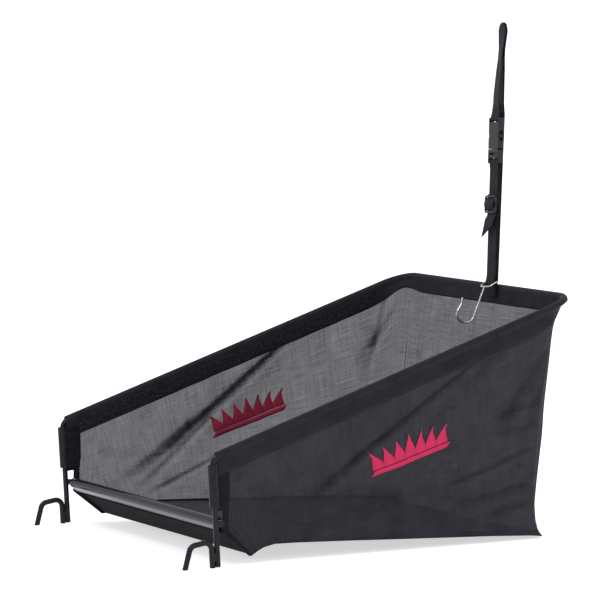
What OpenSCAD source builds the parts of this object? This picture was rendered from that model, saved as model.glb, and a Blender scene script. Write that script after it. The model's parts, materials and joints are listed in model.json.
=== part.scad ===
// Grass catcher for a hand-pushed reel mower: a mesh bag on a bent-rod frame, hung by two hooks and a strap.
// X runs across the mouth, +Y from the mouth to the rear, +Z up. The origin is at the centre of the footprint.

/* [Frame] */
// Distance between the centres of the two posts
frame_w = 380; // [340:1:420]
// Distance from the mouth to the middle of the rear rail
frame_l = 440; // [400:1:460]
// Diameter of the frame rod
rod_d = 6; // [5:0.5:7]
// Height of the rear rail
rear_h = 267; // [255:1:275]
// Slope of the side rails
rail_slope = 18.7; // [15:0.1:20]
// Inside-bend radius of the rear corners, at the rod's centre
corner_r = 30; // [20:1:40]
// Height of the cross rod below the mouth
cross_h = 47; // [44:1:50]
// Height of the posts' lower ends above the ground
post_foot = 1; // [0.5:0.5:8]

/* [Hooks] */
// Height of the hooks' corners above the ground
hook_h = 28.5; // [26:0.5:30]
// Reach of the hooks' free legs in front of the posts
hook_reach = 37; // [35:1:40]
// Bend radius of the hooks
hook_bend_r = 8; // [6:0.5:9]

/* [Bag] */
// Thickness of the cloth panels
cloth_t = 1.2; // [1:0.1:1.5]
// Height of the hem that wraps the rails, below the rod's centre
hem_drop = 21; // [18:1:24]
// Outer radius of the hem's roll round the rod
roll_r = 4.5; // [4.3:0.1:5]
// Distance from the mouth to the bag's rear bottom edge
floor_l = 417; // [400:1:430]
// Height of that edge above the ground
floor_rear_h = 5; // [0:1:8]
// Lean of the side walls: the bag narrows towards its floor
wall_lean = 2.9; // [0:0.1:4]
// Distance from the mouth to the bag's front bottom edge
apron_l = 45; // [40:1:50]
// Height of the bag's front bottom edge
apron_h = 9; // [7:1:12]
// Highest point of the floor, just behind the apron
sill_h = 19; // [14:1:20]
// Distance of that point from the mouth
sill_l = 72; // [66:1:80]

/* [Clips] */
// Outer diameter of the clip profiles' tubes
clip_d = 11; // [10.5:0.5:12]
// Height of the post clips' lower ends
clip_z0 = 64; // [60:1:70]
// Length of the post clips
clip_len = 46; // [40:1:46]
// Reach of the post clips' flanges from the post's centre
clip_flange = 17; // [15:1:17]
// Reach of the lip clip's flange from the cross rod's centre
lip_flange = 13; // [11:1:14]

/* [Strap] */
// Width of the strap's webbing
web_w = 20; // [18:1:20]
// Thickness of the webbing
web_t = 1.5; // [1.2:0.1:1.5]
// Distance of the strap from the middle of the rear rail
strap_x = 8; // [0:1:20]
// Height of the strap above its fold at the rear rail
strap_h = 295; // [280:1:320]
// Height of the buckle's parting line above the ground
buckle_h = 424.5; // [420:0.5:430]
// Width of the buckle
buckle_w = 24; // [24:0.5:26]
// Thickness of the buckle
buckle_t = 7; // [7:0.5:7.5]
// Height of the strap adjuster's middle above the ground
glide_h = 362; // [345:1:365]

/* [Wire hook] */
// Diameter of the wire
wire_d = 2.3; // [2:0.1:2.5]
// Height of the wire hook's bar above the ground
bar_h = 274.5; // [274:0.5:280]
// Lean of the wire hook's bow below the level
bow_tilt = 31; // [25:1:35]

/* [Hidden] */
$fn = 48;

paint = [0.035, 0.035, 0.04];
cloth = [0.11, 0.11, 0.12];
mesh_grey = [0.2, 0.2, 0.23];
plastic = [0.05, 0.05, 0.055];
nickel = [0.78, 0.76, 0.7];

rod_r = rod_d / 2;
half_w = frame_w / 2;
weld_gap = 0.3;
slack = 0.1;
join_r = 0.03;
join_deg = 1;

// The posts lean forward from their feet. Their line and the rails' line meet at the bend's corner.
post_y = 1.7;
post_lean = 3.4;
post_bend_r = 12;
rail_rise = tan(rail_slope);
rail_z0 = rear_h - frame_l * rail_rise;
bend_y = (post_y - rail_z0 * tan(post_lean)) / (1 + tan(post_lean) * rail_rise);
foot_y = post_y - post_foot * tan(post_lean);
bend_z = rail_z0 + bend_y * rail_rise;
rail_len = (frame_l - bend_y) / cos(rail_slope);
rail_end = [bend_y, bend_z] + (rail_len - corner_r) * [cos(rail_slope), sin(rail_slope)];
post_bend_t = post_bend_r * tan((90 - rail_slope + post_lean) / 2);

// Middle of the cross rod, just behind the posts.
cross_y = post_y - cross_h * tan(post_lean) + (rod_d + weld_gap) / cos(post_lean);

// Side walls of the bag, measured from the middle plane.
wall_in = half_w - 3.1;
wall_t = 1;
wall_pivot = hem_drop + 40;
hem_in = half_w - 3.3;
hem_t = 2.8;
floor_half = hem_in - 0.1;
mesh_front = 14;
binding_front = 6.5;
channel_r = rod_r + slack;
rear_tilt = atan((frame_l - floor_l) / (rear_h - floor_rear_h));
rear_hem_len = 18;
rear_len = (rear_h - floor_rear_h - 1) / cos(rear_tilt);

// The apron leaves the lip clip at its flange and ends at the bag's front bottom edge.
apron_in = 2.1;
apron_start = 5.2;
apron_tilt = 39.6;
apron_end = (cross_h - apron_in * cos(apron_tilt) - apron_h) / sin(apron_tilt);

// The strap folds at the rear rail, and its front branch hangs in front of that rail.
fold_y = frame_l + 5.6;
fold_z = 272.5;
strap_lean = 1.6;
branch_lean = 3.75;
branch_side = 3.44;
branch_y = frame_l - 7.2;
branch_shift = 17;
branch_x = strap_x + branch_shift;
layer_gap = 0.2;
layer = (web_t + layer_gap) / 2;

// The footprint runs from the hooks' free legs to the back of the strap's top.
front_edge = -hook_reach - rod_r - 0.11;
rear_edge = fold_y + strap_h * sin(strap_lean) + web_t / 2;
mouth_y = -(front_edge + rear_edge) / 2;

// Places along the front branch, measured up from the buckle's parting line.
branch_cos = cos(branch_lean) * cos(branch_side);
buckle_y = branch_y + (buckle_h - bar_h) * tan(branch_lean) / cos(branch_side);
buckle_x = branch_x - (buckle_h - bar_h) * tan(branch_side);
bar_z = (bar_h - buckle_h) / branch_cos;
glide_z = (glide_h - buckle_h) / branch_cos;
socket_h = 36;
socket_bar = 34.3;
socket_bar_r = 1.1;
plug_bar = -13.6;
plug_bar_r = 1.2;
guide_h = 19;
prong_x = 6.6;
prong_z = 1.9;

// Turns the XY plane up into the plane that runs front to rear: X becomes Y, and Y becomes Z.
module upright() {
    rotate([90, 0, 90])
        children();
}

module at_mouth() {
    translate([0, mouth_y, 0])
        children();
}

// The left side is the one at -X when the bag is seen from behind its mouth.
module side(name) {
    mirror([name == "left" ? 1 : 0, 0, 0])
        children();
}

// The plane of the three rails, with its own X across and Y along the slope.
module rail_plane() {
    translate([0, bend_y, bend_z])
        rotate([rail_slope, 0, 0])
            children();
}

function unit(v) = v / norm(v);
function heading(v) = atan2(v[1], v[0]);
function cross2(a, b) = a[0] * b[1] - a[1] * b[0];
function turn_at(p, i) = acos(min(1, unit(p[i] - p[i - 1]) * unit(p[i + 1] - p[i])));
function trim(p, radii, i) =
    i == 0 || i == len(p) - 1 ? 0 : radii[i - 1] * tan(turn_at(p, i) / 2);

// A round rod along straight runs in the XY plane, with a bend of its own radius at each inner corner.
// A bend is a hair thicker than the runs and reaches a degree into each, so that they join into one solid.
module bent_rod(p, radii, r) {
    for (i = [0 : len(p) - 2]) {
        run = unit(p[i + 1] - p[i]);
        from = p[i] + run * trim(p, radii, i);
        length = norm(p[i + 1] - p[i]) - trim(p, radii, i) - trim(p, radii, i + 1);
        if (length > 0.01)
            translate([from[0], from[1], 0])
                rotate([0, 90, heading(run)])
                    cylinder(h = length, r = r);
    }
    for (i = [1 : len(p) - 2]) {
        before = unit(p[i] - p[i - 1]);
        hand = cross2(before, p[i + 1] - p[i]) > 0 ? 1 : -1;
        normal = hand * [-before[1], before[0]];
        centre = p[i] - before * trim(p, radii, i) + normal * radii[i - 1];
        first = heading(-normal);
        sweep = turn_at(p, i);
        translate([centre[0], centre[1], 0])
            rotate([0, 0, (hand > 0 ? first : first - sweep) - join_deg])
                rotate_extrude(angle = sweep + 2 * join_deg)
                    translate([radii[i - 1], 0])
                        circle(r + join_r);
    }
}

function side_step(p, i) =
    let (
        a = i == 0 ? unit(p[1] - p[0]) : unit(p[i] - p[i - 1]),
        b = i == len(p) - 1 ? a : unit(p[i + 1] - p[i]),
        m = unit([-a[1] - b[1], a[0] + b[0]])
    )
    m / (m * [-a[1], a[0]]);

// A band of webbing, as its edge runs in the plane that goes front to rear.
module ribbon(p, width = web_w, thick = web_t) {
    edge = [for (i = [0 : len(p) - 1]) p[i] + side_step(p, i) * thick / 2];
    back = [for (i = [len(p) - 1 : -1 : 0]) p[i] - side_step(p, i) * thick / 2];
    upright()
        translate([0, 0, -width / 2])
            linear_extrude(width)
                polygon(concat(edge, back));
}

// Points of a turn, for a band that goes round a bar or folds back.
function turn(centre, r, from, to, steps = 8) =
    [for (i = [0 : steps]) centre + r * [cos(from + (to - from) * i / steps),
                                         sin(from + (to - from) * i / steps)]];

module rail_rod() {
    color(paint)
        at_mouth() {
            for (s = ["left", "right"])
                side(s)
                    post_line();
            rail_plane()
                bent_rod(
                    [
                        [half_w, rail_len - corner_r],
                        [half_w, rail_len],
                        [-half_w, rail_len],
                        [-half_w, rail_len - corner_r]
                    ],
                    [corner_r, corner_r],
                    rod_r
                );
        }
}

module cross_line() {
    translate([-half_w - rod_r, cross_y, cross_h])
        rotate([0, 90, 0])
            cylinder(h = frame_w + rod_d, r = rod_r);
}

module cross_rod() {
    color(paint)
        at_mouth()
            cross_line();
}

module post_line() {
    translate([half_w, 0, 0])
        upright()
            bent_rod([[foot_y, post_foot], [bend_y, bend_z], rail_end], [post_bend_r], rod_r);
}

// The hook rod stands in front of the post's foot, arches forward and comes down again.
module hook_line() {
    hook_y = post_y - rod_d - weld_gap;
    translate([half_w, 0, 0])
        upright()
            difference() {
                bent_rod(
                    [
                        [hook_y, -1],
                        [hook_y - (hook_h + 1) * tan(post_lean), hook_h],
                        [-hook_reach + 6.5, hook_h - 4],
                        [-hook_reach - 0.27, -1]
                    ],
                    [hook_bend_r, hook_bend_r],
                    rod_r
                );
                translate([-2 * hook_reach, -10, -10])
                    cube([2 * hook_reach, 10, 20]);
            }
}

module hook_rod(name) {
    color(paint)
        at_mouth()
            side(name)
                hook_line();
}

// Weld metal between each post and its hook, and between each post and the cross rod.
module weld_beads() {
    hook_bead_z = [7, 16];
    color(paint)
        at_mouth()
            for (s = ["left", "right"])
                side(s)
                    difference() {
                        union() {
                            translate([half_w - 2.4, post_y - 5.6, hook_bead_z[0]])
                                cube([4.8, 4, hook_bead_z[1] - hook_bead_z[0]]);
                            translate([half_w, cross_y - rod_r - weld_gap / 2, cross_h])
                                sphere(r = 3.4);
                        }
                        post_line();
                        cross_line();
                        hook_line();
                    }
}

// Profile of a clip: a split tube with a flange on the side that faces -Y. It slots over a rod from +X.
module clip_profile(flange) {
    difference() {
        union() {
            circle(r = clip_d / 2);
            translate([0, -clip_d / 2])
                square([flange, 2]);
        }
        circle(r = rod_r + slack);
        translate([0, -1.2])
            square([clip_d, 3.4]);
    }
}

module post_clip(name) {
    color(plastic)
        at_mouth()
            side(name)
                translate([half_w, post_y, 0])
                    rotate([post_lean, 0, 0])
                        translate([0, 0, clip_z0 / cos(post_lean)])
                            rotate([0, 0, 90])
                                mirror([0, 1, 0])
                                    linear_extrude(clip_len)
                                        clip_profile(clip_flange);
}

module lip_clip() {
    length = frame_w - 18;
    color(plastic)
        at_mouth()
            translate([-length / 2, cross_y, cross_h])
                upright()
                    rotate([0, 0, -apron_tilt])
                        linear_extrude(length)
                            clip_profile(lip_flange);
}

function on_rail(y, drop) = [y, rail_z0 + y * rail_rise - drop / cos(rail_slope)];

// The same place in the rails' plane: how far along the slope, and how far above the plane.
function to_rail(p) =
    let (d = p - [bend_y, bend_z])
    [
        d[0] * cos(rail_slope) + d[1] * sin(rail_slope),
        d[1] * cos(rail_slope) - d[0] * sin(rail_slope)
    ];

// Half the room between the side walls at a place given as [Y, Z].
function half_room(p) = wall_in - 0.3 + (to_rail(p)[1] + wall_pivot) * tan(wall_lean);

// The side walls hang from the hems' lower edges and lean inwards. They turn about a line along the slope.
module on_wall() {
    rail_plane()
        translate([wall_in, 0, -wall_pivot])
            rotate([0, wall_lean, 0])
                translate([0, 0, wall_pivot])
                    upright()
                        children();
}

module side_mesh(name) {
    top_rear = 437.9;
    outline = [
        on_rail(mesh_front, hem_drop),
        [mesh_front, 37],
        [apron_l, apron_h],
        [sill_l, sill_h],
        [floor_l, floor_rear_h],
        on_rail(top_rear, hem_drop)
    ];
    color(mesh_grey)
        at_mouth()
            side(name)
                on_wall()
                    linear_extrude(wall_t)
                        polygon([for (p = outline) to_rail(p)]);
}

// The rear wall leans: its foot is further forward than the rear rail.
module rear_leaning() {
    translate([0, frame_l, rear_h])
        rotate([-rear_tilt, 0, 0])
            children();
}

module rear_mesh() {
    top = floor_half - 0.2;
    foot = half_room([floor_l, floor_rear_h]);
    shoulder = [half_w - corner_r - 1, 10];
    color(mesh_grey)
        at_mouth()
            rear_leaning()
                rotate([90, 0, 0])
                    linear_extrude(wall_t)
                        polygon([
                            [-shoulder[0], -rear_hem_len], [-top, -rear_hem_len - shoulder[1]],
                            [-foot, -rear_len], [foot, -rear_len],
                            [top, -rear_hem_len - shoulder[1]], [shoulder[0], -rear_hem_len]
                        ]);
}

// A flat floor from the sill down to the rear wall.
module floor_panel() {
    sill = [sill_l, sill_h];
    rear = [floor_l - 1.3, floor_rear_h + 0.1];
    fall = atan2(sill[1] - rear[1], rear[0] - sill[0]);
    sill_half = half_room(sill);
    rear_half = half_room(rear);
    color(cloth)
        at_mouth()
            translate([0, sill[0], sill[1]])
                rotate([-fall, 0, 0])
                    linear_extrude(cloth_t)
                        polygon([
                            [-sill_half, 0.3], [sill_half, 0.3],
                            [rear_half, norm(rear - sill)], [-rear_half, norm(rear - sill)]
                        ]);
}

// The apron falls from the lip to the bag's front edge, and a short rise joins it to the floor's sill.
module front_apron() {
    half = half_room([apron_l, apron_h]) - 0.5;
    top = [cross_y, cross_h] + [cos(apron_tilt), -sin(apron_tilt)] * apron_start
        - [sin(apron_tilt), cos(apron_tilt)] * (apron_in + cloth_t / 2);
    color(cloth)
        at_mouth()
            ribbon([top, [apron_l, apron_h + cloth_t], [sill_l, sill_h + cloth_t / 2]], 2 * half, cloth_t);
}

// The hem is rolled round the rod and closed below it.
module hem_section() {
    difference() {
        union() {
            circle(r = roll_r);
            translate([hem_in - half_w, -hem_drop])
                square([hem_t, hem_drop]);
        }
        circle(r = channel_r);
    }
}

// Each side hem runs along its rail and round the rear corner.
module rail_hem(name) {
    start = post_bend_t + 1;
    finish = rail_len - corner_r;
    seam = 0.05;
    color(cloth)
        at_mouth()
            side(name)
                rail_plane() {
                    translate([half_w, finish - seam, 0])
                        rotate([90, 0, 0])
                            linear_extrude(finish - seam - start)
                                hem_section();
                    translate([half_w - corner_r, finish, 0])
                        rotate_extrude(angle = 90)
                            translate([corner_r, 0])
                                hem_section();
                }
}

module rear_hem() {
    length = frame_w - 2 * corner_r - 0.1;
    color(cloth)
        at_mouth()
            translate([-length / 2, frame_l, rear_h])
                rotate([90, 0, 90])
                    linear_extrude(length)
                        difference() {
                            union() {
                                circle(r = roll_r);
                                rotate(-rear_tilt)
                                    translate([-hem_t / 2, -rear_hem_len])
                                        square([hem_t, rear_hem_len]);
                            }
                            circle(r = channel_r);
                        }
}

// Hook-and-loop tape that closes the side hems, on their inner faces.
module hook_tape(name) {
    tape_h = 11;
    start = 30;
    finish = rail_len - corner_r - 12;
    color(plastic)
        at_mouth()
            side(name)
                rail_plane()
                    translate([hem_in - 1.05, start, -hem_drop + 4])
                        cube([1, finish - start, tape_h]);
}

module front_binding(name) {
    outline = [
        on_rail(binding_front, hem_drop),
        [binding_front, 52],
        [mesh_front, 42],
        on_rail(mesh_front, hem_drop)
    ];
    color(cloth)
        at_mouth()
            side(name)
                on_wall()
                    linear_extrude(2)
                        polygon([for (p = outline) to_rail(p)]);
}

// Binding tape over the seam between each side wall and the floor, inside the bag.
module floor_seam(name) {
    tape_h = 11;
    lift = 2;
    outline = [
        [sill_l + 3, sill_h + lift],
        [floor_l - 12, floor_rear_h + lift],
        [floor_l - 12, floor_rear_h + lift + tape_h],
        [sill_l + 3, sill_h + lift + tape_h]
    ];
    color(cloth)
        at_mouth()
            side(name)
                on_wall()
                    translate([0, 0, -1])
                        linear_extrude(0.8)
                            polygon([for (p = outline) to_rail(p)]);
}

// Binding tape over the seam between each side wall and the rear wall, inside the bag.
module corner_seam(name) {
    tape_w = 9;
    margin = 2.5;
    top = floor_half - margin - 1;
    foot = half_room([floor_l, floor_rear_h + 14]) - margin;
    low = -rear_len + 14;
    high = -rear_hem_len - 14;
    color(cloth)
        at_mouth()
            side(name)
                rear_leaning()
                    translate([0, -wall_t - 0.1, 0])
                        rotate([90, 0, 0])
                            linear_extrude(0.8)
                                polygon([
                                    [foot - tape_w, low], [foot, low],
                                    [top, high], [top - tape_w, high]
                                ]);
}

// Lower end of the strap, sewn to the back of the rear hem.
module strap_anchor() {
    roll_back = frame_l + roll_r + 0.15 + web_t / 2;
    color(plastic)
        at_mouth()
            translate([strap_x, 0, 0])
                ribbon([
                    [roll_back, fold_z - 2.2],
                    [roll_back, rear_h - 2],
                    [frame_l + 2.6, rear_h - 13],
                    [frame_l + 2, rear_h - 17]
                ]);
}

module in_strap() {
    translate([strap_x, mouth_y + fold_y, fold_z])
        rotate([-strap_lean, 0, 0])
            children();
}

module in_branch() {
    translate([buckle_x, mouth_y + buckle_y, buckle_h])
        rotate([-branch_lean, -branch_side, 0])
            children();
}

// Both strands of the strap and the fold at its top, with the sewn loop that holds the buckle's socket.
module strap_loop() {
    fold_r = layer + 0.1;
    round_bar = socket_bar_r + 0.25 + web_t / 2;
    color(plastic) {
        in_strap()
            ribbon(concat(
                [[0, 0]],
                turn([-fold_r, strap_h - fold_r], fold_r, 0, 180),
                [[-2 * fold_r - 0.6, 215], [-3.9, 203]]
            ));
        in_branch()
            ribbon(concat(
                [[layer, 57], [layer, socket_bar + 6]],
                turn([0, socket_bar], round_bar, 0, -180),
                [[-layer, socket_bar + 6], [-layer, 54]]
            ));
    }
}

// Outline of the buckle from the front, from z0 to z1, with round corners and edges.
module buckle_block(z0, z1, r) {
    intersection() {
        translate([0, buckle_t / 2, 0])
            rotate([90, 0, 0])
                linear_extrude(buckle_t)
                    rounded([-buckle_w / 2, z0], [buckle_w / 2, z1], r);
        translate([0, 0, z0])
            linear_extrude(z1 - z0)
                rounded([-buckle_w / 2, -buckle_t / 2], [buckle_w / 2, buckle_t / 2], 2);
    }
}

module rounded(low, high, r) {
    translate([low[0] + r, low[1]])
        square([high[0] - low[0] - 2 * r, high[1] - low[1]]);
    translate([low[0], low[1] + r])
        square([high[0] - low[0], high[1] - low[1] - 2 * r]);
    for (x = [low[0] + r, high[0] - r], y = [low[1] + r, high[1] - r])
        translate([x, y])
            circle(r);
}

module bar_across(z, r) {
    translate([-buckle_w / 2 + 1, 0, z])
        rotate([0, 90, 0])
            cylinder(h = buckle_w - 2, r = r);
}

module buckle_socket() {
    slot_w = web_w + 0.8;
    cavity = [20.2, 4.6, 29];
    window = [9, 21];
    color(plastic)
        in_branch() {
            difference() {
                buckle_block(0.15, socket_h, 3);
                translate([-cavity[0] / 2, -cavity[1] / 2, -1])
                    cube(cavity);
                translate([-buckle_w, -cavity[1] / 2, window[0]])
                    cube([2 * buckle_w, cavity[1], window[1] - window[0]]);
                for (x = [-1, 1])
                    translate([x * (buckle_w / 2 + 2.5), buckle_t, (window[0] + window[1]) / 2])
                        rotate([90, 0, 0])
                            cylinder(h = 2 * buckle_t, r = 5);
                translate([-slot_w / 2, -buckle_t, 30.6])
                    cube([slot_w, 2 * buckle_t, socket_h]);
            }
            bar_across(socket_bar, socket_bar_r);
        }
}

module buckle_plug() {
    slot_w = web_w + 0.8;
    color(plastic)
        in_branch() {
            difference() {
                buckle_block(-16, -0.15, 2.2);
                translate([-slot_w / 2, -buckle_t, -20])
                    cube([slot_w, 2 * buckle_t, 20 + plug_bar + 3.4]);
                translate([-slot_w / 2 + 2, -buckle_t, -7])
                    cube([slot_w - 4, 2 * buckle_t, 3]);
            }
            bar_across(plug_bar, plug_bar_r);
            translate([-2, -1.5, -1])
                cube([4, 3, guide_h + 1]);
        }
}

// A springy prong with the oval tab that is pressed through the socket's side window.
module buckle_prong(name) {
    color(plastic)
        in_branch()
            side(name)
                translate([0, 2, 0])
                    rotate([90, 0, 0])
                        linear_extrude(4)
                            difference() {
                                union() {
                                    translate([prong_x, prong_z])
                                        circle(r = 1.4);
                                    translate([prong_x - 1.2, prong_z])
                                        square([2.4, 19]);
                                    translate([prong_x + 0.3, 15])
                                        circle(r = 3);
                                    translate([prong_x - 0.1, 21])
                                        circle(r = 1.5);
                                }
                                translate([-20, 0])
                                    square([22.6, 30]);
                            }
}

// The end of the strap: sewn round the plug's bar, down to the wire hook and back up to the adjuster.
module strap_end() {
    round_plug = plug_bar_r + 0.3 + web_t / 2;
    round_wire = wire_d / 2 + 0.3 + web_t / 2;
    loop_end = bar_z - 16;
    color(plastic)
        in_branch() {
            ribbon(concat(
                [[layer, plug_bar - 34], [layer, plug_bar - 7]],
                turn([0, plug_bar], round_plug, -40, 220, 10),
                [[-layer, plug_bar - 7], [-layer, bar_z + 7]],
                turn([0, bar_z], round_wire, 150, 210, 4),
                [[-layer, bar_z - 7], [-layer, loop_end]]
            ));
            ribbon(concat(
                [[layer, glide_z + 4], [layer, bar_z + 7]],
                turn([0, bar_z], round_wire, 30, -30, 4),
                [[layer, bar_z - 7], [layer, loop_end]]
            ));
            translate([0, 0, loop_end])
                upright()
                    translate([0, 0, -web_w / 2])
                        difference() {
                            cylinder(h = web_w, r = layer + web_t / 2);
                            translate([-5, 0, -1])
                                cube([10, 10, web_w + 2]);
                        }
        }
}

glide_y = -2 * layer - 2.7;

module in_glide() {
    in_branch()
        translate([0, glide_y, glide_z])
            children();
}

// The adjuster: a flat frame with three bars.
module tri_glide() {
    glide = [23.4, 20];
    glide_t = 2.2;
    slot = [web_w + 0.6, 6.2];
    color(plastic)
        in_glide()
            translate([0, glide_t / 2, 0])
                rotate([90, 0, 0])
                    linear_extrude(glide_t)
                        difference() {
                            rounded(-glide / 2, glide / 2, 4);
                            for (z = [-1, 1])
                                translate([-slot[0] / 2, z * 4.9 - slot[1] / 2])
                                    square(slot);
                        }
}

// The strap's loose end: woven through the adjuster, then hanging below it to a slanted tip.
module strap_tail() {
    behind = 1.1 + 0.1 + 0.6;
    color(plastic)
        in_glide()
            difference() {
                ribbon(
                    [
                        [behind, 11.5], [behind, 8.1], [-behind, 2.9], [-behind, -2.9],
                        [behind, -8.1], [behind, -12.5], [-1.5, -17], [-4.8, -34]
                    ],
                    web_w,
                    1.2
                );
                translate([-web_w / 2, -30, -40])
                    rotate([0, 38, 0])
                        translate([-30, 0, -40])
                            cube([80, 60, 40]);
            }
}

// The wire hook: a bow whose bar lies in the strap's loop, and a shank with an open J.
module wire_hook() {
    wire_r = wire_d / 2;
    bow_half = web_w / 2 + 2.6;
    bow_l = 10.5;
    shank_x = -0.8;
    foot = [bow_l * cos(bow_tilt), bow_l * sin(bow_tilt)];
    color(nickel)
        in_branch()
            translate([0, 0, bar_z])
                rotate([branch_lean, 0, 0]) {
                    rotate([bow_tilt, 0, 0])
                        mirror([0, 1, 0])
                            bent_rod(
                                [
                                    [shank_x + 2.8, bow_l],
                                    [bow_half - 2.6, bow_l],
                                    [bow_half, 0],
                                    [-bow_half, 0],
                                    [-bow_half + 2.6, bow_l],
                                    [shank_x, bow_l]
                                ],
                                [4.6, 1.6, 1.6, 4.6],
                                wire_r
                            );
                    translate([shank_x, -foot[0], -foot[1]]) {
                        sphere(r = wire_r + 3 * join_r);
                        upright()
                            bent_rod(
                                [
                                    [0, 0], [-18.5, -40], [-34.5, -39.5], [-38, -28.5],
                                    [-30.6, -18], [-29.2, -11]
                                ],
                                [10, 9.5, 7.5, 6],
                                wire_r
                            );
                    }
                }
}

rail_rod();
cross_rod();
hook_rod("left");  // hook_rod_left
hook_rod("right");  // hook_rod_right
weld_beads();
post_clip("left");  // post_clip_left
post_clip("right");  // post_clip_right
lip_clip();
side_mesh("left");  // side_mesh_left
side_mesh("right");  // side_mesh_right
rear_mesh();
floor_panel();
front_apron();
rail_hem("left");  // rail_hem_left
rail_hem("right");  // rail_hem_right
rear_hem();
hook_tape("left");  // hook_tape_left
hook_tape("right");  // hook_tape_right
front_binding("left");  // front_binding_left
front_binding("right");  // front_binding_right
floor_seam("left");  // floor_seam_left
floor_seam("right");  // floor_seam_right
corner_seam("left");  // corner_seam_left
corner_seam("right");  // corner_seam_right
strap_anchor();
strap_loop();
buckle_socket();
buckle_plug();
buckle_prong("left");  // buckle_prong_left
buckle_prong("right");  // buckle_prong_right
strap_end();
tri_glide();
strap_tail();
wire_hook();
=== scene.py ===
"""Looks of a reel mower's grass catcher: a mesh bag on a bent-rod frame with a webbing strap.

Lengths are millimetres in the bag's own frame: X across the mouth, Y from the mouth to the rear, Z up.
at() turns them into metres in the CAD's frame. A material's sizes are in metres.
"""

import json
import math
from collections import namedtuple

import bpy
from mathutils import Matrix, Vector, noise


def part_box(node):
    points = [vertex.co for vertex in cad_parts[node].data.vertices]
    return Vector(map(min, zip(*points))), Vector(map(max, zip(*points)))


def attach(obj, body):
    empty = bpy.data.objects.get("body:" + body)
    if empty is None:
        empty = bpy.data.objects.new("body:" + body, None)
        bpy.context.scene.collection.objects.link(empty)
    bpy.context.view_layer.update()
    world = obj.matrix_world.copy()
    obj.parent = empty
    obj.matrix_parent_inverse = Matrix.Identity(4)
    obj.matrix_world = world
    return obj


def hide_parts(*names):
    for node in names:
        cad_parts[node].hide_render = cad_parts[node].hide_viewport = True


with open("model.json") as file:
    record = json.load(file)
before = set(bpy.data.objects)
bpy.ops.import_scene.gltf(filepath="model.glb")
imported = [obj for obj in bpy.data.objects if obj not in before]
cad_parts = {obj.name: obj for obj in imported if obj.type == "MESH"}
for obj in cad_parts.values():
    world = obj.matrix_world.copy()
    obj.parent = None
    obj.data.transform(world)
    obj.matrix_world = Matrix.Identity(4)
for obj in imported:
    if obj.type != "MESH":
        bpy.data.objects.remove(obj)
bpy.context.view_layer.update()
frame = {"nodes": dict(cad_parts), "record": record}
JOINTS = {j["name"]: j for j in frame["record"]["behaviour"]["joints"]}
BAG = "frame_and_bag"

# ---------------------------------------------------------------- the frame's measures
MM = 0.001
FOLD_COVER_AND_SHADE = "fold_cover_and_shade"
ROD_R = 3.0
RAIL_LENGTH = 440.0
SLOPE = math.radians(18.7)
CORNER_R = 30.0
MESH_FRONT = 14.0
rail_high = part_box("rail_rod")[1] / MM
HALF_W = rail_high.x - ROD_R
REAR_Z = rail_high.z - ROD_R
MOUTH_Y = rail_high.y - ROD_R - RAIL_LENGTH


def at(x, y, z):
    return Vector((x, y + MOUTH_Y, z)) * MM


def rail_z(y):
    return REAR_Z + (y - RAIL_LENGTH) * math.tan(SLOPE)


def lerp(a, b, t):
    return a + (b - a) * t


def smooth(t):
    t = min(1.0, max(0.0, t))
    return t * t * (3 - 2 * t)


def bell(d, width):
    return math.exp(-((d / width) ** 2))


def along(table, t):
    """The value at t on straight lines between the table's (t, value) pairs."""
    if t <= table[0][0]:
        return table[0][1]
    for (t0, a), (t1, b) in zip(table, table[1:]):
        if t <= t1:
            return lerp(a, b, (t - t0) / (t1 - t0))
    return table[-1][1]


# ---------------------------------------------------------------- materials
CLOTH_SHINE = 0.12


def new_material(name, base, rough, **sockets):
    """A material, its node tree and its Principled shader. A socket's name has _ for each space."""
    m = bpy.data.materials.new(name)
    m.use_nodes = True
    shader = m.node_tree.nodes["Principled BSDF"]
    shader.inputs["Base Color"].default_value = (*base, 1)
    shader.inputs["Roughness"].default_value = rough
    for socket, value in sockets.items():
        shader.inputs[socket.replace("_", " ")].default_value = value
    return m, m.node_tree, shader


def math_node(tree, operation, a, b=0.0, c=0.0):
    n = tree.nodes.new("ShaderNodeMath")
    n.operation = operation
    for socket, value in zip(n.inputs, (a, b, c)):
        if isinstance(value, (int, float)):
            socket.default_value = value
        else:
            tree.links.new(value, socket)
    return n.outputs[0]


def noise_node(tree, scale, detail=3.0, stretch=(1, 1, 1), source="Object"):
    coords = tree.nodes.new("ShaderNodeTexCoord")
    mapping = tree.nodes.new("ShaderNodeMapping")
    mapping.inputs["Scale"].default_value = stretch
    tree.links.new(coords.outputs[source], mapping.inputs["Vector"])
    n = tree.nodes.new("ShaderNodeTexNoise")
    n.inputs["Scale"].default_value = scale
    n.inputs["Detail"].default_value = detail
    tree.links.new(mapping.outputs[0], n.inputs["Vector"])
    return n.outputs["Fac"]


def ramp(tree, value, low, high, start=0.3, end=0.7):
    """A colour from low to high as value goes from start to end."""
    n = tree.nodes.new("ShaderNodeValToRGB")
    n.color_ramp.elements[0].position = start
    n.color_ramp.elements[1].position = end
    n.color_ramp.elements[0].color = (*low, 1)
    n.color_ramp.elements[1].color = (*high, 1)
    tree.links.new(value, n.inputs["Fac"])
    return n.outputs["Color"]


def spread(tree, value, low, high, start=0.0, end=1.0):
    """From low to high as value goes from start to end."""
    n = tree.nodes.new("ShaderNodeMapRange")
    n.inputs["From Min"].default_value = start
    n.inputs["From Max"].default_value = end
    n.inputs["To Min"].default_value = low
    n.inputs["To Max"].default_value = high
    tree.links.new(value, n.inputs["Value"])
    return n.outputs["Result"]


def plus(tree, a, b):
    return math_node(tree, "ADD", a, b)


def times(tree, a, b):
    return math_node(tree, "MULTIPLY", a, b)


def paint(tree, shader, colour):
    tree.links.new(colour, shader.inputs["Base Color"])


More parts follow.
